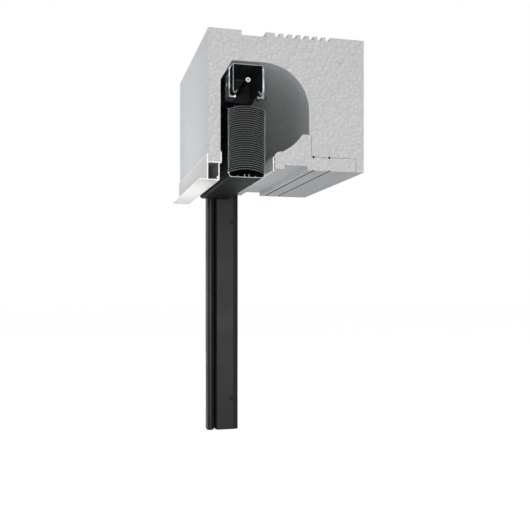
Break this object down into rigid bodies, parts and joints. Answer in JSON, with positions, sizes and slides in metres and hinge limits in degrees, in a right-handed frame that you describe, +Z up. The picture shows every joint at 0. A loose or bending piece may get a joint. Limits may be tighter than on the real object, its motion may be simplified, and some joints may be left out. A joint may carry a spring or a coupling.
{
  "type": "external venetian blind",
  "caption": "Cut-away external venetian blind raised in an insulated top box, with drive shaft, ladders, lifting tapes, bottom rail and one side guide rail.",
  "frame": {"origin": "middle of the box's length, on the strip of its underside that seats on the window frame", "axes": "+X along the window towards the drive end, +Y indoors, +Z up"},
  "size_m": [0.424, 0.3593, 0.893],
  "materials": {
    "foam": "moulded grey bead foam, matt",
    "white_pvc": "extruded, satin",
    "anthracite": "fine-structure powder coat, matt",
    "slat_coating": "coil coating, satin",
    "bare_aluminium": "mill finish",
    "zinc_steel": "zinc plated",
    "black_plastic": "moulded, matt",
    "grey_plastic": "moulded, matt",
    "white_plastic": "moulded, satin",
    "tape_textile": "woven polyester",
    "cord_textile": "braided polyester"
  },
  "bodies": {
    "fixed_frame": {"insulated_box": "foam", "window_insert": "foam", "plaster_rail": "white_pvc", "frame_adapter": "white_pvc", "end_plate": "foam", "head_rail": "anthracite", "head_rail_end_cap": "black_plastic", "bracket_near": "bare_aluminium", "bracket_far": "bare_aluminium", "bracket_screws": "zinc_steel", "ceiling_anchors": "zinc_steel", "winder_housing_near": "black_plastic", "winder_housing_far": "black_plastic", "winder_lids": "grey_plastic", "guide_rail": "anthracite", "groove_lining": "black_plastic", "guide_funnel": "black_plastic", "cover_plugs": "black_plastic", "lifting_tapes": "tape_textile", "ladder_cords": "cord_textile", "tape_leads": "tape_textile"},
    "drive": {"drive_shaft": "bare_aluminium", "tape_drum_near": "white_plastic", "tape_drum_far": "white_plastic", "wound_tape": "tape_textile"},
    "tilt_near": {"tilt_roller_near": "white_plastic", "ladder_turn_near": "cord_textile"},
    "tilt_far": {"tilt_roller_far": "white_plastic", "ladder_turn_far": "cord_textile"},
    "bottom": {"bottom_rail": "anthracite", "bottom_rail_cover": "slat_coating", "bottom_rail_cap": "black_plastic", "bottom_rail_pin": "bare_aluminium", "tape_clips": "black_plastic", "ladder_clips": "black_plastic", "stacked_slats": "slat_coating", "stacked_pins": "black_plastic"},
    "pin_1": {"guide_pin_1": "black_plastic"},
    "blade_1": {"slat_1": "slat_coating"},
    "pin_2": {"guide_pin_2": "black_plastic"},
    "blade_2": {"slat_2": "slat_coating"},
    "pin_3": {"guide_pin_3": "black_plastic"},
    "blade_3": {"slat_3": "slat_coating"},
    "pin_4": {"guide_pin_4": "black_plastic"},
    "blade_4": {"slat_4": "slat_coating"},
    "pin_5": {"guide_pin_5": "black_plastic"},
    "blade_5": {"slat_5": "slat_coating"},
    "pin_6": {"guide_pin_6": "black_plastic"},
    "blade_6": {"slat_6": "slat_coating"},
    "pin_7": {"guide_pin_7": "black_plastic"},
    "blade_7": {"slat_7": "slat_coating"}
  },
  "joints": [
    {"name": "lower", "type": "slide", "parent": "fixed_frame", "child": "bottom", "axis": [0, 0, -1], "range_m": [0, 0.53888], "deforming": ["lifting_tapes", "ladder_cords"]},
    {"name": "shaft_turn", "type": "hinge", "parent": "fixed_frame", "child": "drive", "pos_m": [0, -0.0684, 0.183], "axis": [1, 0, 0], "range_deg": [-5, 1720.3]},
    {"name": "tilt_near_turn", "type": "hinge", "parent": "fixed_frame", "child": "tilt_near", "pos_m": [0, -0.0684, 0.183], "axis": [1, 0, 0], "range_deg": [-2, 74]},
    {"name": "tilt_far_turn", "type": "hinge", "parent": "fixed_frame", "child": "tilt_far", "pos_m": [0, -0.0684, 0.183], "axis": [1, 0, 0], "range_deg": [-2, 74]},
    {"name": "pin_1_slide", "type": "slide", "parent": "fixed_frame", "child": "pin_1", "axis": [0, 0, -1], "range_m": [-0.001, 0.06836]},
    {"name": "pin_2_slide", "type": "slide", "parent": "fixed_frame", "child": "pin_2", "axis": [0, 0, -1], "range_m": [-0.001, 0.13572]},
    {"name": "pin_3_slide", "type": "slide", "parent": "fixed_frame", "child": "pin_3", "axis": [0, 0, -1], "range_m": [-0.001, 0.20308]},
    {"name": "pin_4_slide", "type": "slide", "parent": "fixed_frame", "child": "pin_4", "axis": [0, 0, -1], "range_m": [-0.001, 0.27044]},
    {"name": "pin_5_slide", "type": "slide", "parent": "fixed_frame", "child": "pin_5", "axis": [0, 0, -1], "range_m": [-0.001, 0.3378]},
    {"name": "pin_6_slide", "type": "slide", "parent": "fixed_frame", "child": "pin_6", "axis": [0, 0, -1], "range_m": [-0.001, 0.40516]},
    {"name": "pin_7_slide", "type": "slide", "parent": "fixed_frame", "child": "pin_7", "axis": [0, 0, -1], "range_m": [-0.001, 0.47252]},
    {"name": "slat_1_tilt", "type": "hinge", "parent": "pin_1", "child": "blade_1", "pos_m": [0, -0.0712, 0.1262], "axis": [1, 0, 0], "range_deg": [-2, 74]},
    {"name": "slat_2_tilt", "type": "hinge", "parent": "pin_2", "child": "blade_2", "pos_m": [0, -0.0712, 0.12156], "axis": [1, 0, 0], "range_deg": [-2, 74]},
    {"name": "slat_3_tilt", "type": "hinge", "parent": "pin_3", "child": "blade_3", "pos_m": [0, -0.0712, 0.11692], "axis": [1, 0, 0], "range_deg": [-2, 74]},
    {"name": "slat_4_tilt", "type": "hinge", "parent": "pin_4", "child": "blade_4", "pos_m": [0, -0.0712, 0.11228], "axis": [1, 0, 0], "range_deg": [-2, 74]},
    {"name": "slat_5_tilt", "type": "hinge", "parent": "pin_5", "child": "blade_5", "pos_m": [0, -0.0712, 0.10764], "axis": [1, 0, 0], "range_deg": [-2, 74]},
    {"name": "slat_6_tilt", "type": "hinge", "parent": "pin_6", "child": "blade_6", "pos_m": [0, -0.0712, 0.103], "axis": [1, 0, 0], "range_deg": [-2, 74]},
    {"name": "slat_7_tilt", "type": "hinge", "parent": "pin_7", "child": "blade_7", "pos_m": [0, -0.0712, 0.09836], "axis": [1, 0, 0], "range_deg": [-2, 74]}
  ],
  "couplings": [
    {"joint": "shaft_turn", "follows": "lower", "rad_per_m": 55.556},
    {"joint": "tilt_near_turn", "follows": "lower", "rad_per_m": 2.3319},
    {"joint": "tilt_far_turn", "follows": "lower", "rad_per_m": 2.3319},
    {"joint": "pin_1_slide", "follows": "lower", "ratio": 0.125},
    {"joint": "pin_2_slide", "follows": "lower", "ratio": 0.25},
    {"joint": "pin_3_slide", "follows": "lower", "ratio": 0.375},
    {"joint": "pin_4_slide", "follows": "lower", "ratio": 0.5},
    {"joint": "pin_5_slide", "follows": "lower", "ratio": 0.625},
    {"joint": "pin_6_slide", "follows": "lower", "ratio": 0.75},
    {"joint": "pin_7_slide", "follows": "lower", "ratio": 0.875},
    {"joint": "slat_1_tilt", "follows": "lower", "rad_per_m": 2.3319},
    {"joint": "slat_2_tilt", "follows": "lower", "rad_per_m": 2.3319},
    {"joint": "slat_3_tilt", "follows": "lower", "rad_per_m": 2.3319},
    {"joint": "slat_4_tilt", "follows": "lower", "rad_per_m": 2.3319},
    {"joint": "slat_5_tilt", "follows": "lower", "rad_per_m": 2.3319},
    {"joint": "slat_6_tilt", "follows": "lower", "rad_per_m": 2.3319},
    {"joint": "slat_7_tilt", "follows": "lower", "rad_per_m": 2.3319}
  ]
}
